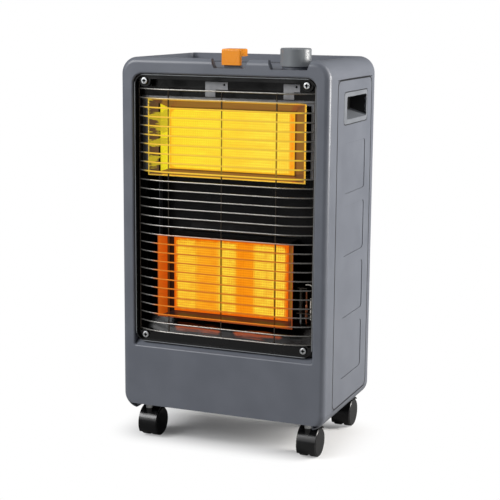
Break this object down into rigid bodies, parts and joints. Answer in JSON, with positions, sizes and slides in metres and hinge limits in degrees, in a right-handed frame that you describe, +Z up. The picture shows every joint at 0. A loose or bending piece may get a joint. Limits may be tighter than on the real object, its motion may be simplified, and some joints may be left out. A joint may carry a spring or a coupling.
{
  "type": "portable gas cabinet heater",
  "caption": "Portable gas heater: grey steel cabinet on castors, ceramic burners behind a wire guard, top tray with orange igniter key and round control knob.",
  "frame": {"origin": "on the floor under the middle of the cabinet's box", "axes": "+Z up, the guarded front faces -Y, +X to the right seen from the front"},
  "size_m": [0.367, 0.2572, 0.6793],
  "materials": {
    "painted_case": "satin powder coat",
    "handle_plastic": "matte",
    "galvanised_sheet": "galvanised",
    "aluminised_sheet": "satin",
    "black_enamel": "gloss black",
    "bright_wire": "bright",
    "zinc_screw": "zinc plated",
    "polished_reflector": "polished",
    "glowing_ceramic": "matte ceramic",
    "white_ceramic": "glazed",
    "brass": "turned",
    "cast_aluminium": "as cast",
    "aluminium_tube": "drawn",
    "copper_tube": "drawn",
    "pilot_steel": "satin",
    "lead_rubber": "matte",
    "black_plastic": "matte",
    "orange_plastic": "gloss",
    "knob_plastic": "matte",
    "castor_plastic": "gloss",
    "castor_steel": "zinc plated"
  },
  "bodies": {
    "cabinet": {"case_shell": "painted_case", "side_panel_right": "painted_case", "side_panel_left": "painted_case", "handle_cup_right": "handle_plastic", "handle_cup_left": "handle_plastic", "base_plate": "galvanised_sheet", "castor_sockets": "castor_steel", "guard_frame": "black_enamel", "guard_wires": "bright_wire", "guard_screws": "zinc_screw", "firebox_liner": "black_enamel", "heat_shield": "black_enamel", "shield_tabs": "galvanised_sheet", "burner_carrier": "galvanised_sheet", "upper_burner_box": "aluminised_sheet", "upper_plaque": "glowing_ceramic", "upper_reflector": "polished_reflector", "lower_burner_box": "aluminised_sheet", "lower_plaque": "glowing_ceramic", "lower_reflector": "polished_reflector", "reflector_tray": "black_enamel", "upper_venturi": "aluminised_sheet", "lower_venturi": "aluminised_sheet", "injectors": "brass", "pilot_burner": "pilot_steel", "thermocouple": "copper_tube", "spark_electrode": "white_ceramic", "ignition_lead": "lead_rubber", "gas_valve": "cast_aluminium", "upper_gas_pipe": "aluminium_tube", "lower_gas_pipe": "aluminium_tube", "pilot_gas_pipe": "aluminium_tube", "inlet_pipe": "aluminium_tube", "gas_inlet": "brass", "piezo_igniter": "black_plastic"},
    "rear_cover": {"rear_panel": "painted_case"},
    "valve_push": {"stem_washer": "castor_steel"},
    "knob": {"control_knob": "knob_plastic", "valve_stem": "castor_steel"},
    "key": {"igniter_key": "orange_plastic"},
    "castor_front_left": {"castor_hood_front_left": "castor_plastic", "castor_stem_front_left": "castor_steel", "castor_axle_front_left": "castor_steel"},
    "wheel_front_left_left": {"wheel_front_left_left": "castor_plastic"},
    "wheel_front_left_right": {"wheel_front_left_right": "castor_plastic"},
    "castor_front_right": {"castor_hood_front_right": "castor_plastic", "castor_stem_front_right": "castor_steel", "castor_axle_front_right": "castor_steel"},
    "wheel_front_right_left": {"wheel_front_right_left": "castor_plastic"},
    "wheel_front_right_right": {"wheel_front_right_right": "castor_plastic"},
    "castor_rear_left": {"castor_hood_rear_left": "castor_plastic", "castor_stem_rear_left": "castor_steel", "castor_axle_rear_left": "castor_steel"},
    "wheel_rear_left_left": {"wheel_rear_left_left": "castor_plastic"},
    "wheel_rear_left_right": {"wheel_rear_left_right": "castor_plastic"},
    "castor_rear_right": {"castor_hood_rear_right": "castor_plastic", "castor_stem_rear_right": "castor_steel", "castor_axle_rear_right": "castor_steel"},
    "wheel_rear_right_left": {"wheel_rear_right_left": "castor_plastic"},
    "wheel_rear_right_right": {"wheel_rear_right_right": "castor_plastic"}
  },
  "joints": [
    {"name": "rear_cover_pull", "type": "slide", "parent": "cabinet", "child": "rear_cover", "axis": [0, 1, 0], "range_m": [0, 0.08]},
    {"name": "knob_push", "type": "slide", "parent": "cabinet", "child": "valve_push", "axis": [0, 0, -1], "range_m": [0, 0.0045], "stiffness_N_per_m": 800, "springref_m": -0.003},
    {"name": "knob_turn", "type": "hinge", "parent": "valve_push", "child": "knob", "pos_m": [0.114, -0.0918, 0.652], "axis": [0, 0, -1], "range_deg": [0, 240]},
    {"name": "igniter_press", "type": "slide", "parent": "cabinet", "child": "key", "axis": [0, 0, -1], "range_m": [0, 0.0045], "stiffness_N_per_m": 1000, "springref_m": -0.003},
    {"name": "castor_swivel_front_left", "type": "hinge", "parent": "cabinet", "child": "castor_front_left", "pos_m": [-0.1465, -0.0978, 0.053], "axis": [0, 0, 1], "continuous": true},
    {"name": "wheel_spin_front_left_left", "type": "hinge", "parent": "castor_front_left", "child": "wheel_front_left_left", "pos_m": [-0.1465, -0.0818, 0.025], "axis": [1, 0, 0], "continuous": true},
    {"name": "wheel_spin_front_left_right", "type": "hinge", "parent": "castor_front_left", "child": "wheel_front_left_right", "pos_m": [-0.1465, -0.0818, 0.025], "axis": [1, 0, 0], "continuous": true},
    {"name": "castor_swivel_front_right", "type": "hinge", "parent": "cabinet", "child": "castor_front_right", "pos_m": [0.1465, -0.0978, 0.053], "axis": [0, 0, 1], "continuous": true},
    {"name": "wheel_spin_front_right_left", "type": "hinge", "parent": "castor_front_right", "child": "wheel_front_right_left", "pos_m": [0.1465, -0.0818, 0.025], "axis": [1, 0, 0], "continuous": true},
    {"name": "wheel_spin_front_right_right", "type": "hinge", "parent": "castor_front_right", "child": "wheel_front_right_right", "pos_m": [0.1465, -0.0818, 0.025], "axis": [1, 0, 0], "continuous": true},
    {"name": "castor_swivel_rear_left", "type": "hinge", "parent": "cabinet", "child": "castor_rear_left", "pos_m": [-0.1465, 0.0862, 0.053], "axis": [0, 0, 1], "continuous": true},
    {"name": "wheel_spin_rear_left_left", "type": "hinge", "parent": "castor_rear_left", "child": "wheel_rear_left_left", "pos_m": [-0.1465, 0.1022, 0.025], "axis": [1, 0, 0], "continuous": true},
    {"name": "wheel_spin_rear_left_right", "type": "hinge", "parent": "castor_rear_left", "child": "wheel_rear_left_right", "pos_m": [-0.1465, 0.1022, 0.025], "axis": [1, 0, 0], "continuous": true},
    {"name": "castor_swivel_rear_right", "type": "hinge", "parent": "cabinet", "child": "castor_rear_right", "pos_m": [0.1465, 0.0862, 0.053], "axis": [0, 0, 1], "continuous": true},
    {"name": "wheel_spin_rear_right_left", "type": "hinge", "parent": "castor_rear_right", "child": "wheel_rear_right_left", "pos_m": [0.1465, 0.1022, 0.025], "axis": [1, 0, 0], "continuous": true},
    {"name": "wheel_spin_rear_right_right", "type": "hinge", "parent": "castor_rear_right", "child": "wheel_rear_right_right", "pos_m": [0.1465, 0.1022, 0.025], "axis": [1, 0, 0], "continuous": true}
  ]
}
